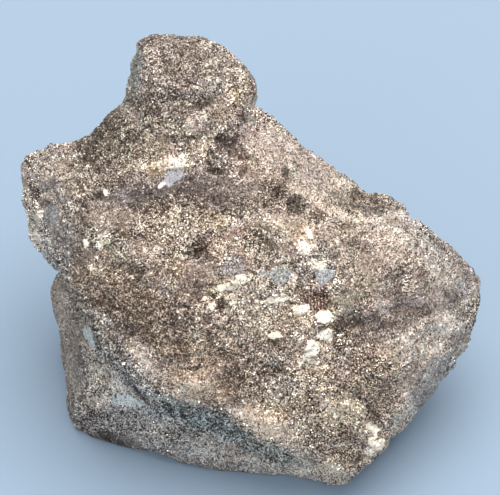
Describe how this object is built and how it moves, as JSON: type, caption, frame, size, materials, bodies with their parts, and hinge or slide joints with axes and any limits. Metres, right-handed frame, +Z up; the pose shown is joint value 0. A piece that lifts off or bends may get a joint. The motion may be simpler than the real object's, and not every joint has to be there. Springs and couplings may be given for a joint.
{
  "type": "native antimony specimen",
  "caption": "Broken lump of native antimony with a squarish knob on top, a horn at each side, an overhanging lip over a low toe, and a flat base to rest on.",
  "frame": {"origin": "on the surface that the lump rests on, below the middle of its bounding box", "axes": "+Z up, +X to the right across the large broken face, which leans back from -Y"},
  "size_m": [0.0612, 0.0482, 0.0456],
  "materials": {
    "antimony_ore": "granular grey-brown metal with bright cream cleavage grains, dark pits and a few bluish mirror faces"
  },
  "bodies": {
    "root": {"antimony_lump": "antimony_ore"}
  },
  "joints": []
}
